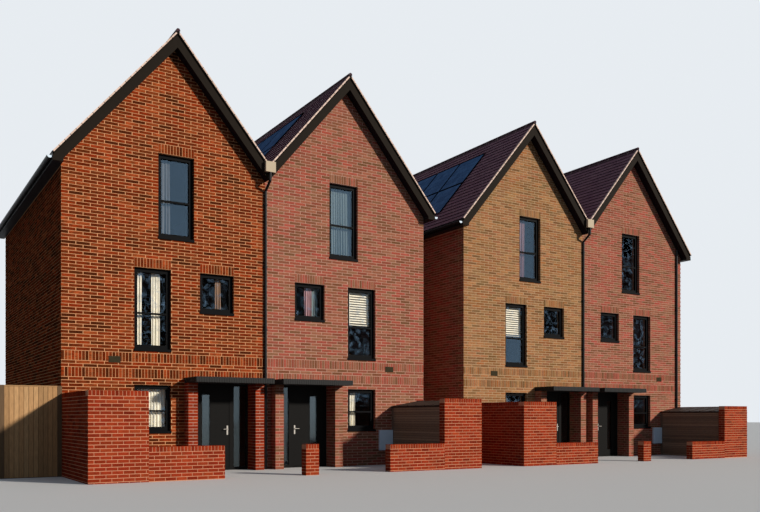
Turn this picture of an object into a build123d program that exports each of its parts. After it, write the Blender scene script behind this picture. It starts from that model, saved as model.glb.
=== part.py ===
from build123d import *
import os
from math import cos, radians, sin, tan

os.makedirs("parts", exist_ok=True)

# A row of four gabled brick houses in two mirrored pairs, seen from the street.
# Sizes are millimetres. X runs along the row, Y runs from the street into the houses, Z is up.
# Inside a house a place along the front is measured from its outer corner to the party line,
# so one description serves a house and its mirrored neighbour.

# Plan of the row
house_width = 4960
house_depth = 8775
passage_width = 1470
houses = (1, 2, 3, 4)

# Walls and floors
wall = 315
party_wall = 300
ground_floor_top = 35
first_floor_top = 2700
second_floor_top = 5400
joist_thickness = 250

# Roof
pitch = 49.9
ridge_across = 2590
ridge_height = 10530
roof_thickness = 230
eaves_reach = 230
eaves_board_thickness = 20
eaves_board_set_in = 4
eaves_drop = 175
verge_reach = 235
barge_thickness = 28
barge_depth = 200
verge_tile_depth = 42
verge_tile_width = 60
verge_tile_lift = 12
ridge_tile_width = 240
ridge_tile_thickness = 22
ridge_crown_radius = 48
ridge_crown_rise = 22

# Windows
window_width = 885
attic_window_height = 2025
tall_window_height = 1950
small_window_height = 975
attic_window_across = 2640
bedroom_window_across = 2070
bathroom_window_across = 3670
attic_sill = 5625
first_floor_sill = 2925
bathroom_sill = 3900
ground_sill = 975
ground_head = 2100
frame_setback = 90
frame_member = 98
frame_depth = 70
bar_height = 45
bar_depth = 40
bar_share = 0.45
glass_thickness = 24
cill_thickness = 28
cill_reach = 32
cill_drop = 30

# Entrance
doorway_width = 1510
doorway_from_party = 385
doorway_head = 2175
screen_setback = 200
jamb_width = 95
leaf_start_gap = 6
leaf_free_gap = 9
leaf_height_gap = 7
leaf_width = 915
leaf_thickness = 60
leaf_inset = 10
sidelight_mullion = 100
sidelight_member = 48
head_rail = 62
threshold_upstand = 7
sidelight_sill = 70
stop_lip = 18
stop_lip_depth = 5
vision_width = 200
vision_start = 195
vision_bottom = 190
vision_top_margin = 215
door_glass_thickness = 28

# Handles and hinges
handle_height = 1030
handle_inset = 62
handle_plate_width = 38
handle_plate_above = 88
handle_plate_below = 142
handle_plate_thickness = 9
lever_length = 118
lever_diameter = 19
lever_reach = 52
hinge_radius = 9
hinge_knuckle = 52
hinge_play = 0.3
hinge_clearance = 2
hinge_plate_thickness = 6
hinge_plate_length = 30
hinge_heights = (260, 1080, 1880)

# Canopies and entrance piers
canopy_thickness = 130
canopy_underside = 2160
canopy_reach = 850
canopy_end_gap = 122
pier_width = 225
pier_reach = 300

# Walls in front of the houses
front_wall_line = 2650
garden_wall = 215
tall_wall_height = 1860
low_wall_height = 715
tall_wall_length = 1200
low_wall_end = 2840
gate_pier_width = 327.5
street_step = 55
gate_pier_height = 735

# Bin stores
store_front = 1070
store_panel = 45
store_panel_top = 1660
store_roof_thickness = 40
store_roof_overhang = 35
store_roof_high = 1850

# Rainwater goods
gutter_radius = 58
gutter_wall = 4
gutter_drop = 75
gutter_end = 5
pipe_radius = 34
pipe_standoff = 45
hopper_width = 270
hopper_height = 265
hopper_depth = 80
hopper_rise = 85
swan_neck_drop = 195
swan_neck_fall = 210
corner_pipe_gap = 8

# Small fittings on the walls
air_brick_width = 270
air_brick_height = 150
air_brick_across = 1175
air_brick_bottom = 2600
air_brick_proud = 8
meter_width = 440
meter_height = 560
meter_depth = 70
meter_across = 1300
meter_bottom = 410

# Solar panels
panel_width = 1290
panel_length = 1430
panel_thickness = 40
panel_gap = 20
panel_columns = 3
panel_first_y = 1550
panel_top_margin = 730
panel_foot_margin = 60

# Side fence
fence_length = 1280
fence_height = 2030
fence_board_thickness = 22
fence_rail_height = 70
fence_rail_depth = 45
fence_rail_heights = (300, 1020, 1740)
fence_post = 95

slope = tan(radians(pitch))
run_cos = cos(radians(pitch))
run_sin = sin(radians(pitch))
pair_width = 2 * house_width
row_width = 2 * pair_width + passage_width
fascia_reach = eaves_reach - eaves_board_set_in
gutter_reach = fascia_reach + 2 * gutter_radius
row_left = -row_width / 2 + (fence_length - gutter_reach) / 2
roof_edge_reach = verge_reach + verge_tile_width
front_y = -(house_depth + roof_edge_reach + hopper_depth - front_wall_line) / 2
doorway_end = house_width - doorway_from_party
doorway_start = doorway_end - doorway_width
screen_depth = leaf_inset + leaf_thickness
threshold_height = ground_floor_top + threshold_upstand
corner_pipe_across = garden_wall + corner_pipe_gap + pipe_radius
inner_end = house_width - party_wall / 2
leaf_height = doorway_head - head_rail - threshold_height - 2 * leaf_height_gap


def across(house, distance):
    """X of a place measured from the outer corner of a house towards its party line."""
    pair_start = row_left + ((house - 1) // 2) * (pair_width + passage_width)
    if house % 2 == 1:
        return pair_start + distance
    return pair_start + pair_width - distance


def towards_party(house):
    """+1 where the party line lies to the right of the house, -1 where it lies to the left."""
    return 1 if house % 2 == 1 else -1


def street_drop(house):
    """How much lower the street walls stand at a house, as the street falls along the row."""
    return (house - 1) * street_step


def facing(y):
    """Upright plane across the row, at a depth behind the face of the houses."""
    return Plane.XZ.offset(-(front_y + y))


def upright(house, start, end, bottom, top, mode=Mode.ADD):
    """Rectangle on an upright plane, between two places along a house and two heights."""
    middle = (across(house, start) + across(house, end)) / 2
    with Locations((middle, (bottom + top) / 2)):
        Rectangle(abs(end - start), top - bottom, mode=mode)


def outline(house, points, mode=Mode.ADD):
    """Closed outline on an upright plane from places along a house and heights."""
    Polygon(*[(across(house, place), height) for place, height in points], align=None, mode=mode)


def block(house, start, end, y_from, y_to, bottom, top, mode=Mode.ADD):
    """Plain block in a house's own measures."""
    with BuildSketch(facing(y_from)) as profile:
        upright(house, start, end, bottom, top)
    extrude(profile.sketch, amount=-(y_to - y_from), mode=mode)


def roof_line(place, depth_below=0):
    """Height of the roof surface over a place, or of a face that lies so far under it."""
    return ridge_height - abs(place - ridge_across) * slope - depth_below / run_cos


def finish(part, name):
    """Label a finished piece and write it to its own file."""
    part.label = name
    export_step(part, f"parts/{name}.step")


front_windows = (
    (attic_window_across, attic_sill, attic_sill + attic_window_height, True),
    (bedroom_window_across, first_floor_sill, first_floor_sill + tall_window_height, True),
    (bathroom_window_across, bathroom_sill, bathroom_sill + small_window_height, False),
    (bedroom_window_across, ground_sill, ground_head, True),
)
rear_windows = front_windows + ((bathroom_window_across, ground_sill, ground_head, True),)


def window_openings(house, windows, below, above):
    """Cut the window openings of one wall that lie between two heights."""
    for place, sill, head, _ in windows:
        if below <= sill and head <= above:
            upright(house, place - window_width / 2, place + window_width / 2, sill, head, Mode.SUBTRACT)


def gable_outline(house, bottom):
    """Front or rear wall from a height up to the underside of the roof."""
    outline(
        house,
        [
            (0, bottom),
            (house_width, bottom),
            (house_width, roof_line(house_width, roof_thickness)),
            (ridge_across, roof_line(ridge_across, roof_thickness)),
            (0, roof_line(0, roof_thickness)),
        ],
    )


# Front wall over the doorway, with the gable and the upper windows
for house in houses:
    with BuildPart() as front_wall:
        with BuildSketch(facing(0)):
            gable_outline(house, doorway_head)
            window_openings(house, front_windows, doorway_head, ridge_height)
        extrude(amount=-wall)
    finish(front_wall.part, f"front_wall_{house}")

# Front wall beside the doorway, with the ground floor window
for house in houses:
    with BuildPart() as entrance_wall:
        with BuildSketch(facing(0)):
            upright(house, 0, doorway_start, 0, doorway_head)
            upright(house, doorway_end, house_width, 0, doorway_head)
            window_openings(house, front_windows, 0, doorway_head)
        extrude(amount=-wall)
    finish(entrance_wall.part, f"entrance_wall_{house}")

# Rear wall and gable
for house in houses:
    with BuildPart() as rear_wall:
        with BuildSketch(facing(house_depth - wall)):
            gable_outline(house, 0)
            window_openings(house, rear_windows, 0, ridge_height)
        extrude(amount=-wall)
    finish(rear_wall.part, f"rear_wall_{house}")

# Outer side wall, running up to the underside of the roof
for house in houses:
    with BuildPart() as side_wall:
        with BuildSketch(facing(wall)):
            outline(
                house,
                [
                    (0, 0),
                    (wall, 0),
                    (wall, roof_line(wall, roof_thickness)),
                    (0, roof_line(0, roof_thickness)),
                ],
            )
        extrude(amount=-(house_depth - 2 * wall))
    finish(side_wall.part, f"side_wall_{house}")

# Party walls between the two houses of each pair
with BuildPart() as party_walls:
    for house in (1, 3):
        with BuildSketch(facing(wall)):
            outline(
                house,
                [
                    (inner_end, 0),
                    (house_width + party_wall / 2, 0),
                    (house_width + party_wall / 2, roof_line(inner_end, roof_thickness)),
                    (house_width, roof_line(house_width, roof_thickness)),
                    (inner_end, roof_line(inner_end, roof_thickness)),
                ],
            )
        extrude(amount=-(house_depth - 2 * wall))
finish(party_walls.part, "party_walls")

# Ground floor slabs and the two upper floors of each house
with BuildPart() as ground_floors:
    for house in houses:
        block(house, wall, inner_end, wall, house_depth - wall, 0, ground_floor_top)
finish(ground_floors.part, "ground_floors")

with BuildPart() as upper_floors:
    for house in houses:
        for top in (first_floor_top, second_floor_top):
            block(house, wall, inner_end, wall, house_depth - wall, top - joist_thickness, top)
finish(upper_floors.part, "upper_floors")

# Roofs: two slopes with a square-cut outer eave, meeting the neighbour at the party line
eave_tip = (-eaves_reach, roof_line(-eaves_reach))
soffit_height = eave_tip[1] - eaves_drop


def slope_band(top_depth, bottom_depth):
    """Outline of a band that follows both slopes, between two depths under the roof surface."""
    eave_out = (eave_tip[0] + top_depth * run_sin, eave_tip[1] - top_depth * run_cos)
    eave_in = (eave_tip[0] + bottom_depth * run_sin, eave_tip[1] - bottom_depth * run_cos)
    return [
        eave_out,
        (ridge_across, roof_line(ridge_across, top_depth)),
        (house_width, roof_line(house_width, top_depth)),
        (house_width, roof_line(house_width, bottom_depth)),
        (ridge_across, roof_line(ridge_across, bottom_depth)),
        eave_in,
    ]


for house in houses:
    with BuildPart() as roof:
        with BuildSketch(facing(-verge_reach)):
            outline(house, slope_band(0, roof_thickness))
        extrude(amount=-(house_depth + 2 * verge_reach))
    finish(roof.part, f"roof_{house}")

# Bargeboards on the front and rear edges of each roof, with a boxed foot closing the outer eave
barge_foot = verge_tile_depth + barge_depth
with BuildPart() as bargeboards:
    for house in houses:
        for face in (-verge_reach - barge_thickness, house_depth + verge_reach):
            with BuildSketch(facing(face)):
                outline(
                    house,
                    [
                        (-eaves_reach, roof_line(-eaves_reach, verge_tile_depth)),
                        (ridge_across, roof_line(ridge_across, verge_tile_depth)),
                        (house_width, roof_line(house_width, verge_tile_depth)),
                        (house_width, roof_line(house_width, barge_foot)),
                        (ridge_across, roof_line(ridge_across, barge_foot)),
                        (0, roof_line(0, barge_foot)),
                        (0, soffit_height),
                        (-eaves_reach, soffit_height),
                    ],
                )
            extrude(amount=-barge_thickness)
finish(bargeboards.part, "bargeboards")

# Verge tiles capping the edges of the roofs over the bargeboards
with BuildPart() as verge_tiles:
    for house in houses:
        for face in (-roof_edge_reach, house_depth + verge_reach):
            with BuildSketch(facing(face)):
                outline(house, slope_band(-verge_tile_lift, verge_tile_depth))
            extrude(amount=-verge_tile_width)
finish(verge_tiles.part, "verge_tiles")

# Ridge tiles, with a round crown that runs out over the verges
with BuildPart() as ridge_tiles:
    for house in houses:
        half = ridge_tile_width / 2 * run_cos
        with BuildSketch(facing(-verge_reach)):
            outline(
                house,
                [
                    (ridge_across - half, roof_line(ridge_across - half)),
                    (ridge_across, ridge_height),
                    (ridge_across + half, roof_line(ridge_across + half)),
                    (ridge_across + half, roof_line(ridge_across + half, -ridge_tile_thickness)),
                    (ridge_across, roof_line(ridge_across, -ridge_tile_thickness)),
                    (ridge_across - half, roof_line(ridge_across - half, -ridge_tile_thickness)),
                ],
            )
        extrude(amount=-(house_depth + 2 * verge_reach))
        with BuildSketch(facing(-roof_edge_reach)):
            with Locations((across(house, ridge_across), ridge_height + ridge_crown_rise)):
                Circle(ridge_crown_radius)
            outline(
                house,
                [
                    (ridge_across - half, roof_line(ridge_across - half, -verge_tile_lift)),
                    (ridge_across, roof_line(ridge_across, -verge_tile_lift)),
                    (ridge_across + half, roof_line(ridge_across + half, -verge_tile_lift)),
                ],
                Mode.SUBTRACT,
            )
        extrude(amount=-(house_depth + 2 * roof_edge_reach))
finish(ridge_tiles.part, "ridge_tiles")

# Fascia, soffit and wall board closing the outer eaves
fascia_top = eave_tip[1] - eaves_board_set_in * run_cos / run_sin
fascia_top_inside = fascia_top - eaves_board_thickness * run_cos / run_sin
with BuildPart() as eaves_boards:
    for house in houses:
        with BuildSketch(facing(-verge_reach)):
            outline(
                house,
                [
                    (-fascia_reach, fascia_top),
                    (-fascia_reach, soffit_height),
                    (0, soffit_height),
                    (0, roof_line(0, roof_thickness)),
                    (-eaves_board_thickness, roof_line(-eaves_board_thickness, roof_thickness)),
                    (-eaves_board_thickness, soffit_height + eaves_board_thickness),
                    (eaves_board_thickness - fascia_reach, soffit_height + eaves_board_thickness),
                    (eaves_board_thickness - fascia_reach, fascia_top_inside),
                ],
            )
        extrude(amount=-(house_depth + 2 * verge_reach))
finish(eaves_boards.part, "eaves_boards")

# Half-round gutters along the outer eaves, closed by stop ends
gutter_top = eave_tip[1] - gutter_drop
gutter_length = house_depth + 2 * verge_reach
with BuildPart() as gutters:
    for house in houses:
        middle = across(house, -fascia_reach - gutter_radius)
        for bore, y_from, length in (
            (gutter_radius - gutter_wall, -verge_reach, gutter_length),
            (0, -verge_reach, gutter_end),
            (0, house_depth + verge_reach - gutter_end, gutter_end),
        ):
            with BuildSketch(facing(y_from)) as section:
                with Locations((middle, gutter_top)):
                    Circle(gutter_radius)
                    if bore:
                        Circle(bore, mode=Mode.SUBTRACT)
                with Locations((middle, gutter_top + gutter_radius / 2)):
                    Rectangle(2 * gutter_radius, gutter_radius, mode=Mode.SUBTRACT)
            extrude(section.sketch, amount=-length)
finish(gutters.part, "gutters")


def layer(windows, near, far, draw):
    """One solid layer of every window in a row of fronts, drawn flat and given its depth."""
    near, far = min(near, far), max(near, far)
    with BuildSketch(facing(near)) as shapes:
        for house in houses:
            for place, sill, head, barred in windows:
                draw(house, place - window_width / 2, place + window_width / 2, sill, head, barred)
    extrude(shapes.sketch, amount=-(far - near))


def draw_ring(house, start, end, sill, head, barred):
    """The four sides of a window frame standing on its cill, with its low bar."""
    upright(house, start, end, sill, head)
    light_bottom = sill + cill_thickness + frame_member
    upright(house, start + frame_member, end - frame_member, light_bottom, head - frame_member, Mode.SUBTRACT)


def draw_bar(house, start, end, sill, head, barred):
    """The bar across a tall window."""
    if barred:
        middle = sill + (head - sill) * bar_share
        upright(house, start, end, middle - bar_height / 2, middle + bar_height / 2)


def draw_cill(house, start, end, sill, head, barred):
    """The tread of a cill."""
    upright(house, start, end, sill, sill + cill_thickness)


def draw_cill_nose(house, start, end, sill, head, barred):
    """The turned-down front edge of a cill."""
    upright(house, start, end, sill - cill_drop, sill + cill_thickness)


with BuildPart() as window_frames:
    for windows, front, outward in (
        (front_windows, frame_setback, -1),
        (rear_windows, house_depth - frame_setback, 1),
    ):
        nose = front + outward * (frame_setback + cill_reach)
        layer(windows, front, front - outward * frame_depth, draw_ring)
        layer(windows, front, front - outward * bar_depth, draw_bar)
        layer(windows, front, nose, draw_cill)
        layer(windows, nose, nose - outward * cill_thickness, draw_cill_nose)
finish(window_frames.part, "window_frames")

# Panes behind the window bars, and the fixed pane beside each front door
leaf_start = doorway_start + jamb_width + leaf_start_gap
leaf_end = leaf_start + leaf_width
mullion_start = leaf_end + leaf_free_gap
sidelight_start = mullion_start + sidelight_mullion
sidelight_end = doorway_end - sidelight_member
sidelight_pane_y = screen_setback + (screen_depth - glass_thickness) / 2


def pane(house, place, sill, head, front):
    """One sheet of glass seated in its frame behind the bar."""
    start, end = place - window_width / 2 + frame_member, place + window_width / 2 - frame_member
    block(
        house,
        start,
        end,
        front,
        front + glass_thickness,
        sill + cill_thickness + frame_member,
        head - frame_member,
    )


with BuildPart() as window_glass:
    for house in houses:
        for place, sill, head, _ in front_windows:
            pane(house, place, sill, head, frame_setback + bar_depth)
        for place, sill, head, _ in rear_windows:
            pane(house, place, sill, head, house_depth - frame_setback - bar_depth - glass_thickness)
        block(
            house,
            sidelight_start,
            sidelight_end,
            sidelight_pane_y,
            sidelight_pane_y + glass_thickness,
            sidelight_sill,
            doorway_head - head_rail,
        )
finish(window_glass.part, "window_glass")

# Entrance screens: jambs, head, threshold, and the frame of the fixed pane
hinge_across = leaf_start - leaf_start_gap / 2
leaf_front = screen_setback + leaf_inset
leaf_back = leaf_front + leaf_thickness
hinge_y = leaf_back + hinge_radius + hinge_clearance
leaf_bottom = threshold_height + leaf_height_gap
leaf_top = leaf_bottom + leaf_height


def barrel(house, bottom, top):
    """Round hinge knuckle on the door's turning axis."""
    with BuildSketch(Plane.XY.offset(bottom)) as knuckle:
        with Locations((across(house, hinge_across), front_y + hinge_y)):
            Circle(hinge_radius)
    extrude(knuckle.sketch, amount=top - bottom)


with BuildPart() as door_frames:
    for house in houses:
        with BuildSketch(facing(screen_setback)):
            upright(house, doorway_start, doorway_end, 0, doorway_head)
            upright(
                house,
                leaf_start - leaf_start_gap,
                mullion_start,
                threshold_height,
                doorway_head - head_rail,
                Mode.SUBTRACT,
            )
            upright(
                house,
                sidelight_start,
                sidelight_end,
                sidelight_sill,
                doorway_head - head_rail,
                Mode.SUBTRACT,
            )
        extrude(amount=-screen_depth)
        with BuildSketch(facing(screen_setback)):
            upright(
                house,
                leaf_start - leaf_start_gap,
                mullion_start,
                threshold_height,
                doorway_head - head_rail,
            )
            upright(
                house,
                leaf_start - leaf_start_gap + stop_lip,
                mullion_start - stop_lip,
                threshold_height,
                doorway_head - head_rail - stop_lip,
                Mode.SUBTRACT,
            )
        extrude(amount=-stop_lip_depth)
        for height in hinge_heights:
            barrel(house, height - hinge_knuckle, height)
            block(
                house,
                hinge_across - hinge_plate_length,
                hinge_across,
                leaf_back,
                leaf_back + hinge_plate_thickness,
                height - hinge_knuckle,
                height,
            )
finish(door_frames.part, "door_frames")

# Front doors: leaf, narrow pane, and lever handles on long plates
for house in houses:
    with BuildPart() as door_leaf:
        with BuildSketch(facing(leaf_front)):
            upright(house, leaf_start, leaf_end, leaf_bottom, leaf_top)
            upright(
                house,
                leaf_start + vision_start,
                leaf_start + vision_start + vision_width,
                leaf_bottom + vision_bottom,
                leaf_top - vision_top_margin,
                Mode.SUBTRACT,
            )
        extrude(amount=-leaf_thickness)
        for height in hinge_heights:
            barrel(house, height + hinge_play, height + hinge_knuckle)
            block(
                house,
                hinge_across,
                hinge_across + hinge_plate_length,
                leaf_back,
                leaf_back + hinge_plate_thickness,
                height + hinge_play,
                height + hinge_knuckle,
            )
    finish(door_leaf.part, f"door_leaf_{house}")

    with BuildPart() as door_glass:
        block(
            house,
            leaf_start + vision_start,
            leaf_start + vision_start + vision_width,
            leaf_front + (leaf_thickness - door_glass_thickness) / 2,
            leaf_front + (leaf_thickness + door_glass_thickness) / 2,
            leaf_bottom + vision_bottom,
            leaf_top - vision_top_margin,
        )
    finish(door_glass.part, f"door_glass_{house}")

    with BuildPart() as door_handle:
        plate_across = leaf_end - handle_inset
        for outward, face in ((-1, leaf_front), (1, leaf_back)):
            plate_face = face + outward * handle_plate_thickness
            lever_face = face + outward * lever_reach
            block(
                house,
                plate_across - handle_plate_width / 2,
                plate_across + handle_plate_width / 2,
                min(face, plate_face),
                max(face, plate_face),
                handle_height - handle_plate_below,
                handle_height + handle_plate_above,
            )
            with BuildSketch(facing(plate_face)):
                with Locations((across(house, plate_across), handle_height)):
                    Circle(lever_diameter / 2)
            extrude(amount=-(lever_face - plate_face))
            with BuildSketch(Plane.YZ.offset(across(house, plate_across + lever_diameter / 2))):
                with Locations((front_y + lever_face, handle_height)):
                    Circle(lever_diameter / 2)
            extrude(amount=-towards_party(house) * (lever_length + lever_diameter / 2))
    finish(door_handle.part, f"door_handle_{house}")

# Flat canopies over the entrances and the brick piers that carry them
with BuildPart() as canopies:
    for house in houses:
        block(
            house,
            doorway_start - pier_width,
            house_width - canopy_end_gap,
            -canopy_reach,
            0,
            canopy_underside,
            canopy_underside + canopy_thickness,
        )
finish(canopies.part, "canopies")

with BuildPart() as entrance_piers:
    for house in houses:
        for start in (doorway_start - pier_width, doorway_end):
            block(house, start, start + pier_width, -pier_reach, 0, 0, canopy_underside)
finish(entrance_piers.part, "entrance_piers")

# Walls along the street: a tall corner with its return to the house, then a low stretch
for name, pair in (("a", (1, 2)), ("b", (3, 4))):
    with BuildPart() as street_walls:
        for house in pair:
            wall_top = tall_wall_height - street_drop(house)
            low_top = low_wall_height - street_drop(house)
            with BuildSketch(facing(-front_wall_line)):
                outline(
                    house,
                    [
                        (0, 0),
                        (low_wall_end, 0),
                        (low_wall_end, low_top),
                        (tall_wall_length, low_top),
                        (tall_wall_length, wall_top),
                        (0, wall_top),
                    ],
                )
            extrude(amount=-garden_wall)
            block(
                house,
                0,
                garden_wall,
                garden_wall - front_wall_line,
                0,
                0,
                wall_top,
            )
        block(
            pair[0],
            house_width - gate_pier_width / 2,
            house_width + gate_pier_width / 2,
            -front_wall_line,
            garden_wall - front_wall_line,
            0,
            gate_pier_height - street_drop(sum(pair) / 2),
        )
    finish(street_walls.part, f"street_walls_{name}")

# Bin stores between the tall walls and the houses
with BuildPart() as store_panels:
    for house in houses:
        block(
            house,
            store_front - store_panel,
            store_front,
            garden_wall - front_wall_line,
            0,
            0,
            store_panel_top - street_drop(house),
        )
finish(store_panels.part, "store_panels")

with BuildPart() as store_roofs:
    for house in houses:
        low = store_panel_top - street_drop(house)
        high = store_roof_high - street_drop(house)
        with BuildSketch(facing(garden_wall - front_wall_line)):
            outline(
                house,
                [
                    (garden_wall, high - store_roof_thickness),
                    (store_front - store_panel, low),
                    (store_front + store_roof_overhang, low),
                    (store_front + store_roof_overhang, low + store_roof_thickness),
                    (garden_wall, high),
                ],
            )
        extrude(amount=-(front_wall_line - garden_wall))
    block(
        4,
        garden_wall,
        corner_pipe_across + pipe_radius + corner_pipe_gap,
        -(pipe_standoff + pipe_radius + corner_pipe_gap),
        0,
        store_panel_top - street_drop(4),
        store_roof_high - street_drop(4),
        Mode.SUBTRACT,
    )
finish(store_roofs.part, "store_roofs")

# Cream boxes at both ends of each valley and the pipes that lead down from them
hopper_top = roof_line(house_width) + hopper_rise
swan_neck_top = hopper_top - hopper_height - swan_neck_drop
swan_neck_bottom = swan_neck_top - swan_neck_fall
with BuildPart() as valley_boxes:
    for house in (1, 3):
        for y_from in (-roof_edge_reach - hopper_depth, house_depth + roof_edge_reach):
            block(
                house,
                house_width - hopper_width / 2,
                house_width + hopper_width / 2,
                y_from,
                y_from + hopper_depth,
                hopper_top - hopper_height,
                hopper_top,
            )
finish(valley_boxes.part, "valley_boxes")


def drop_pipe(x, points):
    """Round pipe with mitred bends that follows a path of places in depth and height."""
    with BuildLine() as route:
        Polyline(*[(x, front_y + y, z) for y, z in points])
    with BuildSketch(Plane(origin=route.line @ 0, z_dir=route.line % 0)) as section:
        Circle(pipe_radius)
    sweep(section.sketch, path=route.line, transition=Transition.RIGHT)


with BuildPart() as downpipes:
    for house in (1, 3):
        for wall_y, outward in ((0, -1), (house_depth, 1)):
            box_y = wall_y + outward * (roof_edge_reach + hopper_depth / 2)
            pipe_y = wall_y + outward * pipe_standoff
            drop_pipe(
                across(house, house_width),
                [
                    (box_y, hopper_top - hopper_height),
                    (box_y, swan_neck_top),
                    (pipe_y, swan_neck_bottom),
                    (pipe_y, 0),
                ],
            )
    with BuildSketch(Plane.XY) as section:
        with Locations((across(4, corner_pipe_across), front_y - pipe_standoff)):
            Circle(pipe_radius)
    extrude(section.sketch, amount=roof_line(corner_pipe_across - pipe_radius, roof_thickness))
finish(downpipes.part, "downpipes")

# Air bricks and meter boxes
with BuildPart() as air_bricks:
    for house in houses:
        block(
            house,
            air_brick_across - air_brick_width / 2,
            air_brick_across + air_brick_width / 2,
            -air_brick_proud,
            0,
            air_brick_bottom,
            air_brick_bottom + air_brick_height,
        )
finish(air_bricks.part, "air_bricks")

with BuildPart() as meter_boxes:
    for house in houses:
        block(
            house,
            meter_across - meter_width / 2,
            meter_across + meter_width / 2,
            -meter_depth,
            0,
            meter_bottom,
            meter_bottom + meter_height,
        )
finish(meter_boxes.part, "meter_boxes")

# Solar panels on the left-hand slopes of the second and third houses
with BuildPart() as solar_panels:
    for house in (2, 3):
        side = 1 if house % 2 == 0 else -1
        slope_end = house_width if house % 2 == 0 else -eaves_reach
        slope_length = abs(slope_end - ridge_across) / run_cos
        room = slope_length - panel_top_margin - panel_foot_margin
        for row in range(int(room // (panel_length + panel_gap))):
            near = panel_top_margin + row * (panel_length + panel_gap)
            far = near + panel_length
            place_top = ridge_across + side * near * run_cos
            place_bottom = ridge_across + side * far * run_cos
            lift = panel_thickness / run_cos
            for column in range(panel_columns):
                start = panel_first_y + column * (panel_width + panel_gap)
                with BuildSketch(facing(start)):
                    outline(
                        house,
                        [
                            (place_top, roof_line(place_top)),
                            (place_bottom, roof_line(place_bottom)),
                            (place_bottom, roof_line(place_bottom) + lift),
                            (place_top, roof_line(place_top) + lift),
                        ],
                    )
                extrude(amount=-panel_width)
finish(solar_panels.part, "solar_panels")

# Close-boarded fence beside the first house
with BuildPart() as side_fence:
    block(1, -fence_post, 0, -fence_post, 0, 0, fence_height)
    block(1, -fence_length, -fence_length + fence_post, -fence_post, 0, 0, fence_height)
    block(
        1,
        -fence_length + fence_post,
        -fence_post,
        -fence_post + fence_board_thickness,
        -fence_post + 2 * fence_board_thickness,
        0,
        fence_height,
    )
    for height in fence_rail_heights:
        block(
            1,
            -fence_length + fence_post,
            -fence_post,
            2 * fence_board_thickness - fence_post,
            2 * fence_board_thickness + fence_rail_depth - fence_post,
            height - fence_rail_height / 2,
            height + fence_rail_height / 2,
        )
finish(side_fence.part, "side_fence")
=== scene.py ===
"""Row of four gabled brick houses: finishes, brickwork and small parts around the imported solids."""
import math

import bpy
import numpy as np
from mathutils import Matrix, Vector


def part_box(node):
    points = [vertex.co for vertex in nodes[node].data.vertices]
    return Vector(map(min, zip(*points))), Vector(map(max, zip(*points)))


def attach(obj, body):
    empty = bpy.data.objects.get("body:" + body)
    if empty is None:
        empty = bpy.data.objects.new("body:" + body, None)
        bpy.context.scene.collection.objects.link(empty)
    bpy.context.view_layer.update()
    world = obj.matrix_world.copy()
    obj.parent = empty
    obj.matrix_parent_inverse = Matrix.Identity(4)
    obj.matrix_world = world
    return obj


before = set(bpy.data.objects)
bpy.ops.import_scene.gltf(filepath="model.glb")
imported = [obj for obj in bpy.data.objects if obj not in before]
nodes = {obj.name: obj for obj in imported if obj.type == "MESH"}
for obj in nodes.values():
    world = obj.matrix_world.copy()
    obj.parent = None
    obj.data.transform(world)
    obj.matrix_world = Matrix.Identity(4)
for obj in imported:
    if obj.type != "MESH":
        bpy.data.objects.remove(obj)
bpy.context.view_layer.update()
rng = np.random.default_rng(41)

# Measures of the row in metres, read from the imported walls
low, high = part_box("front_wall_1")
LEFT, FRONT, WIDTH = low.x, low.y, high.x - low.x
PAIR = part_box("front_wall_3")[0].x - LEFT
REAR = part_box("rear_wall_1")[1].y
HOUSES = (1, 2, 3, 4)

# Roof: ridge, slopes, and how far eaves and verges reach past the walls
RIDGE_ACROSS, RIDGE = 2.59, 10.53
PITCH = math.radians(49.9)
SLOPE, COS, SIN = math.tan(PITCH), math.cos(PITCH), math.sin(PITCH)
ROOF_THICKNESS = 0.23
EAVES_REACH, SOFFIT = 0.23, 7.0
VERGE_REACH, VERGE_WIDTH, VERGE_LIFT = 0.235, 0.06, 0.012
CROWN_RADIUS = 0.048

# Brickwork: courses, bricks, joints, how far a brick stands out of its wall and is set into it
COURSE, BRICK, STREET_BRICK = 0.075, 0.316, 0.23
JOINT, PERPEND = 0.015, 0.021
PROUD, EMBED, UNEVEN = 0.006, 0.004, 0.0015
SHORTEST, THINNEST, TIP = 0.02, 0.012, 0.004
UPRIGHT = 3 * COURSE
BAND_ROWS = (2.25, 2.625)

# Windows: middle along the house, cill and head; the rear has one more, behind the entrance
HALF = 0.4425
WINDOWS = (
    (2.64, 5.625, 7.65),
    (2.07, 2.925, 4.875),
    (3.67, 3.9, 4.875),
    (2.07, 0.975, 2.1),
)
REAR_WINDOW = (3.67, 0.975, 2.1)
REVEAL, CILL = 0.09, 0.03

# Entrance, its piers, and the limits of an air brick
DOOR_START, DOOR_END, DOOR_HEAD, RECESS = 3.065, 4.575, 2.175, 0.2
PIER_WIDTH, PIER_REACH, PIER_TOP = 0.225, 0.3, 2.16
AIR_BRICK = (1.04, 1.31, 2.6, 2.75)

# Street walls: reach from the house fronts, thickness, ends of the tall and low stretches, heights
STREET, THICK = 2.65, 0.215
TALL_END, LOW_END = 1.2, 2.84
TALL_TOP, LOW_TOP, PIER_HEIGHT, STREET_STEP = 1.86, 0.715, 0.735, 0.055
GATE_PIER_HALF, COPING = 0.16375, 0.105

# A small piece is set this far into what carries it
BITE = 0.002


def across(house, distance):
    """X of a place measured from the outer corner of a house."""
    start = LEFT + ((house - 1) // 2) * PAIR
    return start + distance if house % 2 else start + 2 * WIDTH - distance


def inward(house):
    """+1 where the party line lies to the right of the house, -1 where it lies to the left."""
    return 1 if house % 2 else -1


def sides(house, a, b):
    """X of two places along a house, left one first."""
    return sorted((across(house, a), across(house, b)))


def along(direction, a, b):
    """Two limits measured along a face that may run backwards, lower one first."""
    return sorted((direction * a, direction * b))


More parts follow.
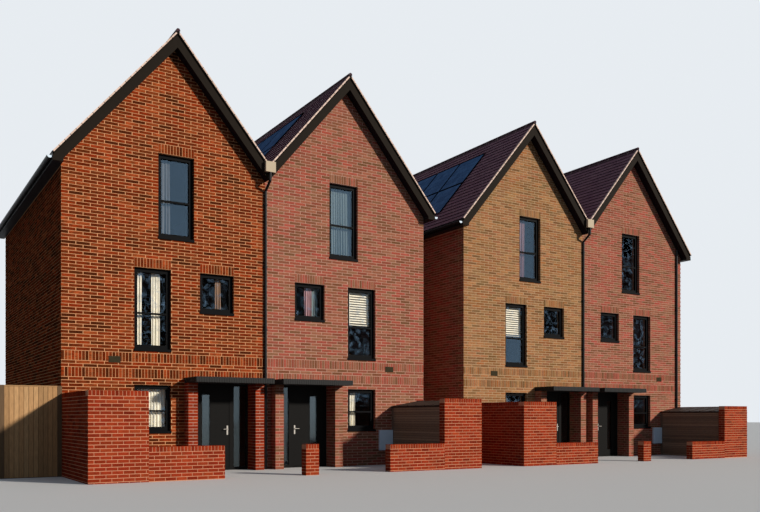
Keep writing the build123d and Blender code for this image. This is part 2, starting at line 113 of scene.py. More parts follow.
def srgb(r, g, b):
    """Colour written as 0-255 values of a screen, made linear."""
    out = []
    for c in (r, g, b):
        c /= 255
        out.append(c / 12.92 if c <= 0.04045 else ((c + 0.055) / 1.055) ** 2.4)
    return (*out, 1.0)


def shade(colour, factor):
    """A linear colour made darker or lighter."""
    return tuple(min(1.0, c * factor) for c in colour[:3]) + (1.0,)


class Nodes:
    """Small helper that builds one node material."""

    def __init__(self, name, rough=0.6, metal=0.0, spec=0.5):
        self.mat = bpy.data.materials.new(name)
        self.mat.use_nodes = True
        self.tree = self.mat.node_tree
        self.bsdf = self.tree.nodes["Principled BSDF"]
        self.bsdf.inputs["Roughness"].default_value = rough
        self.bsdf.inputs["Metallic"].default_value = metal
        self.bsdf.inputs["Specular IOR Level"].default_value = spec

    def new(self, kind, **inputs):
        """A node with some of its sockets or settings given by name."""
        node = self.tree.nodes.new(kind)
        for key, value in inputs.items():
            if key in node.inputs:
                node.inputs[key].default_value = value
            else:
                setattr(node, key, value)
        return node

    def link(self, a, b):
        self.tree.links.new(a, b)

    def noise(self, scale, detail=4.0, stretch=(1, 1, 1), rough=0.6):
        """Noise over the object, finer along an axis with a larger stretch."""
        place = self.new("ShaderNodeTexCoord")
        mapping = self.new("ShaderNodeMapping")
        mapping.inputs["Scale"].default_value = stretch
        self.link(place.outputs["Object"], mapping.inputs["Vector"])
        noise = self.new("ShaderNodeTexNoise", Scale=scale, Detail=detail, Roughness=rough)
        self.link(mapping.outputs["Vector"], noise.inputs["Vector"])
        return noise.outputs["Fac"]

    def ramp(self, source, stops):
        """Colours over a value, from pairs of place and colour."""
        ramp = self.new("ShaderNodeValToRGB")
        elements = ramp.color_ramp.elements
        while len(elements) < len(stops):
            elements.new(0.5)
        for element, (place, colour) in zip(elements, stops):
            element.position = place
            element.color = colour
        self.link(source, ramp.inputs["Fac"])
        return ramp.outputs["Color"]

    def tones(self, colours):
        """Colour of each block, picked from a list by the tone written on its points."""
        tone = self.new("ShaderNodeAttribute", attribute_name="tone")
        return self.ramp(tone.outputs["Fac"], [(i / len(colours), srgb(*c)) for i, c in enumerate(colours)])

    def mix(self, kind, factor, a, b):
        """Blend of two colours; each input is a value or the output of another node."""
        mix = self.new("ShaderNodeMix")
        mix.data_type = "RGBA"
        mix.blend_type = kind
        for socket, value in ((mix.inputs[0], factor), (mix.inputs[6], a), (mix.inputs[7], b)):
            if isinstance(value, (int, float, tuple)):
                socket.default_value = value
            else:
                self.link(value, socket)
        return mix.outputs[2]

    def colour(self, source):
        self.link(source, self.bsdf.inputs["Base Color"])

    def calc(self, operation, a, b):
        """One Math node; each side is a number or the output of another node."""
        node = self.new("ShaderNodeMath", operation=operation)
        for socket, value in zip(node.inputs, (a, b)):
            if isinstance(value, (int, float)):
                socket.default_value = value
            else:
                self.link(value, socket)
        return node.outputs[0]

    def near(self, source, middle, reach):
        """1 where a value lies within a reach of a middle, else 0."""
        compared = self.calc("COMPARE", source, middle)
        compared.node.inputs[2].default_value = reach
        return compared

    def axes(self, kind, output):
        """The X, Y and Z parts of an output of a new node."""
        split = self.new("ShaderNodeSeparateXYZ")
        self.link(self.new(kind).outputs[output], split.inputs[0])
        return split.outputs

    def bump(self, height, strength=0.3, distance=0.002):
        bump = self.new("ShaderNodeBump", Strength=strength, Distance=distance)
        self.link(height, bump.inputs["Height"])
        self.link(bump.outputs["Normal"], self.bsdf.inputs["Normal"])


def plain(name, colour, rough=0.6, metal=0.0, spread=0.12, scale=8.0, spec=0.2, stretch=(1, 1, 1)):
    """Finish of one colour with a little unevenness."""
    m = Nodes(name, rough, metal, spec)
    base = srgb(*colour)
    stops = [(0.3, shade(base, 1 - spread)), (0.7, shade(base, 1 + spread))]
    m.colour(m.ramp(m.noise(scale, stretch=stretch), stops))
    m.bump(m.noise(scale * 12, 6.0, stretch), 0.05, 0.001)
    return m.mat


def toned(name, colours, rough=0.6, spec=0.2, stretch=(1, 1, 1), scale=30.0):
    """Finish whose blocks each have a tone of their own."""
    m = Nodes(name, rough, spec=spec)
    speck = m.ramp(m.noise(scale, 5.0, stretch), [(0.3, (0.8, 0.8, 0.8, 1)), (0.7, (1.16, 1.14, 1.12, 1))])
    m.colour(m.mix("MULTIPLY", 1.0, m.tones(colours), speck))
    m.bump(m.noise(scale * 5, 4.0, stretch), 0.3, 0.002)
    return m.mat


def brick_finish(name, colours, streak, streak_share):
    """Brick faces: each brick has its own tone, with a darker drag across it."""
    m = Nodes(name, 0.9, spec=0.0)
    drag = m.ramp(m.noise(9.0, 5.0, (1, 1, 3.5)), [(0.42, (0, 0, 0, 1)), (0.66, (1, 1, 1, 1))])
    base = m.mix("MIX", m.calc("MULTIPLY", drag, streak_share), m.tones(colours), srgb(*streak))
    speck = m.ramp(m.noise(160.0, 3.0), [(0.3, (0.72, 0.72, 0.72, 1)), (0.7, (1.18, 1.15, 1.12, 1))])
    patch = m.ramp(m.noise(2.4, 3.0), [(0.36, (0.93, 1.0, 0.97, 1)), (0.64, (1.08, 0.99, 1.02, 1))])
    m.colour(m.mix("MULTIPLY", 1.0, m.mix("MULTIPLY", 1.0, base, speck), patch))
    m.bump(m.noise(220.0, 5.0), 0.5, 0.002)
    return m.mat


def mortar_finish(name, colour):
    """Mortar between the bricks."""
    m = Nodes(name, 0.95, spec=0.0)
    base = srgb(*colour)
    m.colour(m.ramp(m.noise(26.0, 5.0), [(0.3, shade(base, 0.8)), (0.7, base)]))
    m.bump(m.noise(300.0, 4.0), 0.4, 0.002)
    return m.mat


BRICKS = {
    "orange": brick_finish(
        "orange_brick",
        [
            (140, 50, 18), (164, 64, 28), (112, 40, 14), (172, 80, 40), (98, 44, 18),
            (150, 52, 20), (126, 54, 24), (104, 36, 12), (180, 86, 44), (84, 36, 16),
        ],
        streak=(64, 34, 16), streak_share=0.7,
    ),
    "pink": brick_finish(
        "pink_brick",
        [
            (172, 82, 70), (152, 90, 73), (128, 89, 64), (181, 90, 77), (162, 112, 87),
            (140, 98, 73), (176, 86, 71), (149, 80, 65), (119, 82, 57), (166, 103, 81),
        ],
        streak=(108, 80, 54), streak_share=0.4,
    ),
    "buff": brick_finish(
        "buff_brick",
        [
            (172, 112, 68), (152, 109, 71), (131, 101, 68), (179, 127, 84), (163, 109, 76),
            (142, 106, 74), (184, 134, 90), (151, 100, 62), (122, 91, 60), (169, 125, 86),
        ],
        streak=(108, 78, 48), streak_share=0.4,
    ),
    "red": brick_finish(
        "red_brick",
        [
            (138, 48, 25), (162, 62, 34), (125, 42, 24), (156, 54, 30), (175, 73, 40),
            (144, 51, 30), (165, 61, 34),
        ],
        streak=(94, 32, 20), streak_share=0.4,
    ),
}
MORTAR_COLOURS = (
    ("orange", (226, 164, 118)), ("pink", (208, 162, 142)),
    ("buff", (210, 177, 140)), ("red", (220, 154, 120)),
)
MORTARS = {name: mortar_finish(f"{name}_mortar", colour) for name, colour in MORTAR_COLOURS}
HOUSE_BRICK = {1: "orange", 2: "pink", 3: "buff", 4: "pink"}
SIDE_BRICK = {1: "orange", 2: "pink", 3: "pink", 4: "pink"}

# Corners of the six faces of a block
BLOCK_FACES = np.array(((0, 1, 2, 3), (4, 0, 3, 7), (1, 5, 6, 2), (4, 5, 1, 0), (3, 2, 6, 7), (5, 4, 7, 6)))


def mesh_object(name, points, quads, material, body="root", tones=None, smooth=False):
    """Mesh from arrays of points and four-sided faces."""
    mesh = bpy.data.meshes.new(name)
    mesh.vertices.add(len(points))
    mesh.vertices.foreach_set("co", np.asarray(points, np.float32).ravel())
    quads = np.asarray(quads, np.int32)
    mesh.loops.add(quads.size)
    mesh.loops.foreach_set("vertex_index", quads.ravel())
    mesh.polygons.add(len(quads))
    mesh.polygons.foreach_set("loop_start", np.arange(0, quads.size, quads.shape[1], dtype=np.int32))
    mesh.polygons.foreach_set("use_smooth", np.full(len(quads), smooth))
    mesh.update(calc_edges=True)
    if tones is not None:
        mesh.attributes.new("tone", "FLOAT", "POINT").data.foreach_set("value", tones)
    mesh.materials.append(material)
    obj = bpy.data.objects.new(name, mesh)
    bpy.context.scene.collection.objects.link(obj)
    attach(obj, body)
    return obj


class Pile:
    """Many small closed blocks gathered into one mesh, each with a tone of its own."""

    def __init__(self):
        self.points, self.tones = [], []

    def add(self, corners, tone=None):
        """Add eight corners: four of the outer face, then the four behind them."""
        self.points.append(corners)
        self.tones.append(rng.random() if tone is None else tone)

    def box(self, x0, x1, y0, y1, z0, z1, tone=None):
        """Add a block given by its limits, in any order."""
        (x0, x1), (y0, y1), (z0, z1) = sorted((x0, x1)), sorted((y0, y1)), sorted((z0, z1))
        ring = ((x0, z0), (x1, z0), (x1, z1), (x0, z1))
        self.add(np.array([(x, y, z) for y in (y0, y1) for x, z in ring]), tone)

    def build(self, name, material, slot=None, body="root"):
        count = len(self.points)
        index = (BLOCK_FACES[None] + 8 * np.arange(count)[:, None, None]).reshape(-1, 4)
        tones = np.repeat(np.array(self.tones, np.float32), 8)
        return mesh_object(name, np.array(self.points).reshape(-1, 3), index, material, body, tones)


class Face:
    """A flat face: s runs to the right as seen from outside, t up and n outward."""

    def __init__(self, origin, right, up=(0, 0, 1)):
        self.origin, self.s, self.t = (np.array(v, float) for v in (origin, right, up))
        self.n = np.cross(self.s, self.t)

    def at(self, s, t, n):
        return self.origin + s * self.s + t * self.t + n * self.n

    def block(self, s0, s1, t0, t1, n1=PROUD, n0=-EMBED, s0_top=None, s1_top=None):
        """Eight corners of a block, with slanted ends where the upper ends differ."""
        a = s0 if s0_top is None else s0_top
        b = s1 if s1_top is None else s1_top
        ring = ((s0, t0), (s1, t0), (b, t1), (a, t1))
        return np.array([self.at(s, t, n) for n in (n1, n0) for s, t in ring])


def facing_x(x, direction):
    """Upright face at an X that looks along X; s is Y, turned where the face looks left."""
    return Face((x, 0, 0), (0, direction, 0))


def facing_y(y, direction=-1):
    """Upright face at a Y that looks to the street (-1) or to the rear (1); s is X, turned at the rear."""
    return Face((0, y, 0), (-direction, 0, 0))


def proud():
    """How far one brick stands out of the mortar."""
    return PROUD - UNEVEN * rng.random()


def lay(pile, face, bottom, top, left, right, holes, start):
    """Lay stretcher courses between two edges, leaving holes (s0, s1, t0, t1) free."""
    for k in range(round(bottom / COURSE), round(top / COURSE)):
        t0, t1 = k * COURSE + JOINT / 2, min((k + 1) * COURSE - JOINT / 2, top)
        # Each span of a course: its left end at foot and top, then its right end at foot and top
        spans = [(left(t0), left(t1), right(t0), right(t1))]
        for s0, s1, h0, h1 in holes:
            if h0 < t1 and h1 > t0:
                cut = []
                for l0, l1, r0, r1 in spans:
                    if s1 <= min(l0, l1) or s0 >= max(r0, r1):
                        cut.append((l0, l1, r0, r1))
                        continue
                    if s0 > l0:
                        cut.append((l0, l1, s0, s0))
                    if s1 < r0:
                        cut.append((s1, s1, r0, r1))
                spans = cut
        shift = start + (k % 2) * BRICK / 2
        for l0, l1, r0, r1 in spans:
            first = math.floor((min(l0, l1) - shift) / BRICK)
            last = math.ceil((max(r0, r1) - shift) / BRICK)
            for i in range(first, last):
                a, b = shift + i * BRICK + PERPEND / 2, shift + (i + 1) * BRICK - PERPEND / 2
                a0, a1, b0, b1 = max(a, l0), max(a, l1), min(b, r0), min(b, r1)
                if b0 - a0 >= SHORTEST:
                    pile.add(face.block(a0, b0, t0, t1, proud(), -EMBED, a1, max(b1, a1 + TIP)))


def upright_course(pile, face, s0, s1, t0, height=UPRIGHT):
    """A course of upright bricks between two places."""
    count = max(1, round((s1 - s0) / COURSE))
    step = (s1 - s0) / count
    for i in range(count):
        a, b = s0 + i * step + JOINT / 2, s0 + (i + 1) * step - JOINT / 2
        pile.add(face.block(a, b, t0 + JOINT / 2, t0 + height - JOINT / 2, proud()))


def jamb(pile, x, direction, y0, y1, bottom, top):
    """Brick ends that turn round the side of an opening."""
    face = facing_x(x, direction)
    s0, s1 = along(direction, y0, y1)
    for k in range(round(bottom / COURSE), round(top / COURSE)):
        t0 = max(k * COURSE + JOINT / 2, bottom + CILL)
        t1 = min((k + 1) * COURSE - JOINT / 2, top)
        split = s0 + (s1 - s0) * (0.5 if s1 - s0 > BRICK / 2 else 1.0)
        for a, b in ((s0, split - JOINT / 2), (split + JOINT / 2, s1)):
            if b - a > SHORTEST and t1 - t0 > SHORTEST:
                pile.add(face.block(a, b, t0, t1, PROUD / 2))


def house_front(house, rear=False):
    """Brick courses, upright courses and band on the front or rear of one house."""
    face = facing_y(REAR, 1) if rear else facing_y(FRONT)
    sign = -1 if rear else 1
    u_sign = inward(house) * sign
    base = sign * across(house, 0)

    def stretch(u0, u1):
        return sorted((base + u_sign * u0, base + u_sign * u1))

    def edge(t, party):
        rise = (RIDGE - ROOF_THICKNESS / COS - t) / SLOPE
        u = min(WIDTH, RIDGE_ACROSS + rise) if party else max(-PROUD, RIDGE_ACROSS - rise)
        return base + u_sign * u

    pile, holes = Pile(), []
    wall_y, reveal_y = (REAR, REAR - REVEAL + BITE) if rear else (FRONT, FRONT + REVEAL - BITE)
    for place, sill, head in WINDOWS + ((REAR_WINDOW,) if rear else ()):
        a, b = stretch(place - HALF, place + HALF)
        holes.append((a, b, sill, head))
        if head > DOOR_HEAD:
            holes.append((a, b, head, head + UPRIGHT))
            upright_course(pile, face, a, b, head)
        x0, x1 = sides(house, place - HALF, place + HALF)
        jamb(pile, x0, 1, wall_y, reveal_y, sill, head)
        jamb(pile, x1, -1, wall_y, reveal_y, sill, head)
    span = stretch(-PROUD, WIDTH)
    for row in BAND_ROWS[:1] if rear else BAND_ROWS:
        holes.append((*span, row, row + UPRIGHT))
        upright_course(pile, face, *span, row)
    if not rear:
        a, b = stretch(DOOR_START, DOOR_END)
        holes.append((a, b, 0.0, DOOR_HEAD))
    left, right = (lambda t: edge(t, u_sign < 0)), (lambda t: edge(t, u_sign > 0))
    lay(pile, face, 0, RIDGE - ROOF_THICKNESS / COS - SHORTEST, left, right, holes, base)
    kind = HOUSE_BRICK[house]
    pile.build(f"{'rear' if rear else 'front'}_bricks_{house}", BRICKS[kind], f"brick_{kind}")


def side_bricks(house):
    """Brick courses on the outer side wall of one house, full depth, up to the soffit."""
    outward = -inward(house)
    face = facing_x(across(house, 0), outward)
    s0, s1 = along(outward, FRONT, REAR)
    pile = Pile()
    lay(pile, face, 0, SOFFIT, lambda t: s0, lambda t: s1, (), s0)
    kind = SIDE_BRICK[house]
    pile.build(f"side_bricks_{house}", BRICKS[kind], f"brick_{kind}")


for house in HOUSES:
    house_front(house)
    house_front(house, rear=True)
    side_bricks(house)

# Entrance piers: courses of one and of two bricks in turn, with flanks back into the recess
PIER_SET, HALF_BRICK, SHORTEST_FLANK = 0.004, 0.1, 0.03
for kind, pier_houses in (("red", (1,)), ("pink", (2, 3, 4))):
    pile = Pile()
    for house in pier_houses:
        for start in (DOOR_START - PIER_WIDTH, DOOR_END):
            x0, x1 = sides(house, start, start + PIER_WIDTH)
            door_side = inward(house) * (1 if start < DOOR_START else -1)
            y0 = FRONT - PIER_REACH
            for k in range(math.ceil(PIER_TOP / COURSE)):
                t0, t1 = k * COURSE + JOINT / 2, min((k + 1) * COURSE - JOINT / 2, PIER_TOP)
                middle = (x0 + x1) / 2
                halves = ((x0, middle - JOINT / 2), (middle + JOINT / 2, x1)) if k % 2 else ((x0, x1),)
                for a, b in halves:
                    a, b = (a - PROUD if a == x0 else a), (b + PROUD if b == x1 else b)
                    pile.add(facing_y(y0).block(a, b, t0, t1))
                lap = HALF_BRICK * (k % 2)
                for x, direction in ((x0, -1), (x1, 1)):
                    end = FRONT + RECESS - BITE if direction == door_side else FRONT
                    edges = [y0 + PIER_SET, y0 + HALF_BRICK + lap, FRONT + lap, end]
                    for a, b in zip(edges, edges[1:]):
                        s0, s1 = along(direction, a, min(b, end) - JOINT)
                        if min(b, end) - a > SHORTEST_FLANK:
                            pile.add(facing_x(x, direction).block(s0, s1, t0, t1))
    pile.build(f"pier_bricks_{kind}", BRICKS[kind], f"brick_{kind}")


def street_drop(place):
    """How much lower the street walls stand at a house; the street falls to the right."""
    return (place - 1) * STREET_STEP


def wall_bricks(pile, face, s0, s1, top, bottom=0.0):
    """Courses under a brick-on-edge top, counted down from the top."""
    body_top = top - COPING
    for k in range(math.ceil((body_top - bottom) / COURSE)):
        t1 = body_top - k * COURSE - JOINT / 2
        t0 = max(body_top - (k + 1) * COURSE + JOINT / 2, bottom)
        shift = s0 + (k % 2) * STREET_BRICK / 2
        for i in range(-1, math.ceil((s1 - s0) / STREET_BRICK) + 1):
            a = max(shift + i * STREET_BRICK + JOINT / 2, s0)
            b = min(shift + (i + 1) * STREET_BRICK - JOINT / 2, s1)
            if b - a > SHORTEST and t1 - t0 > THINNEST:
                pile.add(face.block(a, b, t0, t1, proud()))


def coping(pile, x0, x1, y0, y1, top, along_x=True):
    """Brick-on-edge top course over a stretch of wall."""
    length = (x1 - x0) if along_x else (y1 - y0)
    count = max(1, round(length / COURSE))
    step = length / count
    for i in range(count):
        a, b = i * step + JOINT / 2, (i + 1) * step - JOINT / 2
        if along_x:
            limits = (x0 + a, x0 + b, y0 - PROUD, y1 + PROUD)
        else:
            limits = (x0 - PROUD, x1 + PROUD, y0 + a, y0 + b)
        pile.box(*limits, top - COPING + JOINT / 2, top + PROUD)


# Street walls: a tall corner with a low stretch beside each house, and a gate pier between the two
for name, pair in (("a", (1, 2)), ("b", (3, 4))):
    pile = Pile()
    y0, y1 = FRONT - STREET, FRONT - STREET + THICK
    for house in pair:
        tall, short = TALL_TOP - street_drop(house), LOW_TOP - street_drop(house)
        way = inward(house)
        x_out, x_in = across(house, 0), across(house, THICK)
        x_tall, x_low = across(house, TALL_END), across(house, LOW_END)
        for start, back_start, end, top in ((x_out, x_in, x_tall, tall), (x_tall, x_tall, x_low, short)):
            a, b = sorted((start, end))
            wall_bricks(pile, facing_y(y0), a, b, top)
            coping(pile, a, b, y0, y1, top)
            a, b = sorted((back_start, end))
            wall_bricks(pile, facing_y(y1, 1), -b, -a, top)
        for x, direction, near, far, top, bottom in (
            (x_low, way, y0, y1, short, 0.0),
            (x_tall, way, y0, y1, tall, short),
            (x_out, -way, y0 - PROUD, FRONT, tall, 0.0),
            (x_in, way, y1, FRONT, tall, 0.0),
        ):
            s0, s1 = along(direction, near, far)
            wall_bricks(pile, facing_x(x, direction), s0, s1, top, bottom)
        a, b = sorted((x_out, x_in))
        coping(pile, a, b, y1, FRONT, tall, along_x=False)
    middle = across(pair[0], WIDTH)
    top = PIER_HEIGHT - street_drop(sum(pair) / 2)
    x0, x1 = middle - GATE_PIER_HALF, middle + GATE_PIER_HALF
    wall_bricks(pile, facing_y(y0), x0 - PROUD, x1 + PROUD, top)
    wall_bricks(pile, facing_y(y1, 1), -x1 - PROUD, -x0 + PROUD, top)
    wall_bricks(pile, facing_x(x0, -1), -y1, -y0, top)
    wall_bricks(pile, facing_x(x1, 1), y0, y1, top)
    coping(pile, x0 - PROUD, x1 + PROUD, y0, y1, top)
    pile.build(f"street_bricks_{name}", BRICKS["red"], "brick_red")


def tile_finish(name, colours, painted_shade):
    """Clay tiles, each with a tone of its own, with painted shade on the faces that look down the slope."""
    m = Nodes(name, 0.8, spec=0.05)
    speck = m.ramp(m.noise(40.0, 5.0), [(0.3, (0.84, 0.84, 0.84, 1)), (0.7, (1.14, 1.12, 1.12, 1))])
    # Painted shade: faces whose true normal points down take a dark colour, drawn as a shadow line under each
    # row
    painted_shade_mask = m.calc("LESS_THAN", m.axes("ShaderNodeNewGeometry", "True Normal")["Z"], 0.0)
    top = m.mix("MULTIPLY", 1.0, m.tones(colours), speck)
    m.colour(m.mix("MIX", painted_shade_mask, top, srgb(*painted_shade)))
    m.bump(m.noise(200.0, 4.0), 0.3, 0.002)
    return m.mat


plum = tile_finish(
    "plum_tile",
    [
        (127, 92, 102), (136, 99, 109), (119, 84, 96), (132, 95, 103), (121, 86, 98), (139, 102, 110),
        (129, 92, 104),
    ],
    # Painted shade colour of the down-facing tile faces
    (30, 20, 28),
)


def slope_face(house, outer):
    """Plane of one roof slope: s along the eave, t up the slope with the ridge at 0."""
    away = -inward(house) if outer else inward(house)
    up = (-away * COS, 0, SIN)
    return Face((across(house, RIDGE_ACROSS), 0, RIDGE), (0, away, 0), up)


def slope_length(outer):
    """Length of a slope from its foot to the ridge."""
    return ((RIDGE_ACROSS + EAVES_REACH) if outer else (WIDTH - RIDGE_ACROSS)) / COS


# Flat tiles in staggered rows; a step parts each row from the next, where the dark down-facing butt and the
# dark roof deck show as a painted shadow line
GAUGE, TILE, TILE_GAP, TILE_LAP = 0.186, 0.25, 0.004, 0.004
TILE_BUTT, TILE_HEAD, TILE_STEP, RIDGE_MARGIN = 0.02, 0.003, 0.012, 0.02
for house in HOUSES:
    pile = Pile()
    for outer in (True, False):
        face, length = slope_face(house, outer), slope_length(outer)
        s0, s1 = along(face.s[1], FRONT - VERGE_REACH, REAR + VERGE_REACH)
        for row in range(int(length / GAUGE)):
            t0 = -length + row * GAUGE
            t0, t1 = t0 + TILE_STEP, min(t0 + GAUGE + TILE_LAP, -RIDGE_MARGIN)
            shift = (row % 2) * TILE / 2
            for i in range(-1, int((s1 - s0) / TILE) + 1):
                a = max(s0, s0 + shift + i * TILE + TILE_GAP / 2)
                b = min(s1, s0 + shift + (i + 1) * TILE - TILE_GAP / 2)
                if b - a < SHORTEST:
                    continue
                lift = TILE_BUTT + UNEVEN * rng.random()
                block = face.block(a, b, t0, t1, lift)
                block[2:4] -= face.n * (lift - TILE_HEAD)
                pile.add(block)
    pile.build(f"tiles_{house}", plum, "roof_tile")

# Verge units end to end over the roof edges; the dark bed under them shows in the gaps and below
VERGE_GAP, VERGE_SKIN, VERGE_SHOWN, VERGE_FOOT = 0.014, 0.004, 0.018, 0.02
pile = Pile()
for house in HOUSES:
    for outer in (True, False):
        face, length = slope_face(house, outer), slope_length(outer) - VERGE_FOOT
        count = round(length / GAUGE)
        step = (length - CROWN_RADIUS) / count
        for y0, y1 in (
            (FRONT - VERGE_REACH - VERGE_WIDTH - VERGE_SKIN, FRONT - VERGE_REACH - VERGE_SKIN),
            (REAR + VERGE_REACH + VERGE_SKIN, REAR + VERGE_REACH + VERGE_WIDTH + VERGE_SKIN),
        ):
            s0, s1 = along(face.s[1], y0, y1)
            for i in range(count):
                t0 = -length + i * step
                block = face.block(s0, s1, t0, t0 + step - VERGE_GAP, VERGE_LIFT + VERGE_SKIN, -VERGE_SHOWN)
                pile.add(block)
cream_tile = toned("verge_tile", [(228, 200, 184), (238, 212, 196), (216, 188, 170), (232, 204, 190)], 0.75)
pile.build("verge_units", cream_tile, "verge_tile")

# Length of a ridge tile and width of the mortar line
RIDGE_PITCH, RIDGE_JOINT = 0.45, 0.03


def ridge_finish():
    """Ridge tiles: plum clay with a pale mortar line where two tiles meet."""
    m = Nodes("ridge_clay", 0.75, spec=0.12)
    distance = m.calc("PINGPONG", m.axes("ShaderNodeTexCoord", "Object")["Y"], RIDGE_PITCH / 2)
    clay = m.ramp(m.noise(30.0), [(0.3, srgb(56, 38, 46)), (0.7, srgb(74, 52, 60))])
    m.colour(m.mix("MIX", m.calc("LESS_THAN", distance, RIDGE_JOINT / 2), clay, srgb(128, 112, 106)))
    m.bump(m.noise(150.0), 0.3, 0.002)
    return m.mat


dark_metal = plain("black_metal", (24, 24, 25), 0.45, spread=0.1)
FINISH = {
    "barge": plain("barge_paint", (32, 26, 20), 0.7, spread=0.1, spec=0.06),
    "verge_bed": plain("verge_bed", (30, 25, 21), 0.9, spread=0.1, spec=0.06),
    "cream": plain("cream_box", (190, 173, 146), 0.55, spread=0.04),
    "frame": plain("window_frame", (11, 12, 14), 0.55, spread=0.06, spec=0.04),
    "entrance": plain("entrance_paint", (16, 15, 14), 0.6, spread=0.05, spec=0.08),
    "canopy": plain("canopy_metal", (30, 30, 30), 0.55, spread=0.06, spec=0.15),
    "handle": plain("handle_metal", (150, 145, 138), 0.4, 1.0, spread=0.05),
    "slats": toned(
        "store_slats", [(122, 104, 88), (152, 130, 110), (136, 114, 94), (164, 140, 118)],
        rough=0.8, spec=0.05, stretch=(2, 2, 12), scale=6.0,
    ),
    "sheet": plain("store_sheet", (56, 44, 38), 0.6, spread=0.06, spec=0.06),
    # Roof deck: a dark colour so that the gaps between tile rows and the verge undersides read as painted
    # shade
    "roof_deck_painted_shade": plain("roof_deck_painted_shade", (34, 26, 30), 0.9, spread=0.1, spec=0.05),
    "white": plain("meter_white", (222, 240, 254), 0.5, spread=0.01),
    "fence": toned(
        "fence_timber", [(176, 136, 94), (194, 154, 108), (164, 127, 88), (202, 162, 116), (183, 141, 97)],
        rough=0.85, spec=0.1, stretch=(8, 8, 1), scale=6.0,
    ),
    # Fence frame: a darker copy of the board timber, painted shade on the posts and between the boards
    "fence_shade": plain("fence_frame_painted_shade", (104, 82, 60), 0.85, spread=0.16, scale=4.0, stretch=(6, 6, 1)),
    "block": plain("party_block", (116, 112, 108), 0.9),
    "screed": plain("screed", (112, 110, 106), 0.85),
    "boards": plain("floor_timber", (116, 92, 66), 0.7, spread=0.15),
    "air_brick": plain("air_brick", (64, 58, 44), 0.85, spec=0.0),
    "solar_frame": plain("solar_frame", (9, 9, 11), 0.6, spread=0.1, spec=0.0),
    # Solar cells: a mid blue, brighter than the dark cells themselves and without gloss; the blue is a
    # painted reflection of the sky in the panel glass
    "cells_painted_sky": toned("solar_cells", [(84, 118, 158), (90, 127, 168), (80, 112, 150), (94, 131, 172)], 0.5, 0.0),
    "rail": plain("curtain_rail", (150, 146, 138), 0.4, 1.0, spread=0.05),
    "blind": plain("blind_slat", (250, 243, 222), 0.6, spread=0.03),
}


# Glass: tints, depth of the entrance panes behind the recess and reach of their mask, and the one lower pane
# given a painted sky reflection (house, window, middle and half height)
WINDOW_TINT, ENTRANCE_TINT = srgb(124, 152, 176), srgb(128, 142, 148)
PANE_DEPTH, PANE_REACH = 0.06, 0.08
SKY_PANE_HOUSE, SKY_PANE_WINDOW, SKY_PANE_MIDDLE, SKY_PANE_HALF = 3, 1, 3.42, 0.5


def door_glass():
    """Pale obscured glass of the door leaves."""
    m = Nodes("door_glass", 0.12, 1.0)
    m.bsdf.inputs["Base Color"].default_value = ENTRANCE_TINT
    m.bsdf.inputs["Alpha"].default_value = 0.32
    return m.mat


def window_glass():
    """Window glass with painted reflections: clear sky in most attic panes and one lower pane, broken dark
    reflections elsewhere, set by masks and noise on the mirror share.
    """
    m = Nodes("window_glass", 0.04, 1.0)
    x, y, z = m.axes("ShaderNodeNewGeometry", "Position")
    left_of_last = m.calc("LESS_THAN", x, across(4, WIDTH))
    painted_sky_attic = m.calc("MULTIPLY", m.calc("GREATER_THAN", z, WINDOWS[0][1]), left_of_last)
    doorway = m.near(y, FRONT + RECESS + PANE_DEPTH, PANE_REACH)
    sky_pane_x = across(SKY_PANE_HOUSE, WINDOWS[SKY_PANE_WINDOW][0])
    painted_sky_pane = m.calc("MULTIPLY", m.near(x, sky_pane_x, HALF), m.near(z, SKY_PANE_MIDDLE, SKY_PANE_HALF))
    # Painted reflection: noise sets how much of each pane mirrors the background, in patches like reflected
    # trees; fixed shares then replace it in the entrance panes, the one lower pane and most attic panes, the
    # last two a painted sky reflection
    painted_reflection_share = m.ramp(
        m.noise(7.0, 7.0, rough=0.75),
        [(0.49, (0.004, 0.004, 0.004, 1)), (0.56, (0.06, 0.06, 0.06, 1)), (0.66, (0.3, 0.3, 0.3, 1))],
    )
    for mask, value in ((doorway, 0.2), (painted_sky_pane, 0.18), (painted_sky_attic, 0.17)):
        painted_reflection_share = m.mix("MIX", mask, painted_reflection_share, (value, value, value, 1))
    m.colour(m.mix("MIX", doorway, WINDOW_TINT, ENTRANCE_TINT))
    m.link(painted_reflection_share, m.bsdf.inputs["Alpha"])
    return m.mat


CAD_FINISH = {
    "bargeboards": FINISH["barge"],
    "verge_tiles": FINISH["verge_bed"],
    "valley_boxes": FINISH["cream"],
    "window_frames": FINISH["frame"],
    "door_frames": FINISH["entrance"],
    "canopies": FINISH["canopy"],
    "store_panels": FINISH["slats"],
    "store_roofs": FINISH["sheet"],
    "meter_boxes": FINISH["white"],
    "side_fence": FINISH["fence_shade"],
    "party_walls": FINISH["block"],
    "ground_floors": FINISH["screed"],
    "upper_floors": FINISH["boards"],
    "air_bricks": FINISH["air_brick"],
    "solar_panels": FINISH["solar_frame"],
    "window_glass": window_glass(),
    "ridge_tiles": ridge_finish(),
    "eaves_boards": dark_metal,
    "gutters": dark_metal,
    "downpipes": dark_metal,
    "entrance_piers": MORTARS["pink"],
    "street_walls_a": MORTARS["red"],
    "street_walls_b": MORTARS["red"],
}
leaf_glass = door_glass()
for house in HOUSES:
    for part in ("front_wall", "entrance_wall", "rear_wall"):
        CAD_FINISH[f"{part}_{house}"] = MORTARS[HOUSE_BRICK[house]]
    CAD_FINISH[f"side_wall_{house}"] = MORTARS[SIDE_BRICK[house]]
    CAD_FINISH[f"roof_{house}"] = FINISH["roof_deck_painted_shade"]
    CAD_FINISH[f"door_leaf_{house}"] = FINISH["entrance"]
    CAD_FINISH[f"door_glass_{house}"] = leaf_glass
    CAD_FINISH[f"door_handle_{house}"] = FINISH["handle"]
for name, obj in nodes.items():
    obj.data.materials.clear()
    obj.data.materials.append(CAD_FINISH[name])

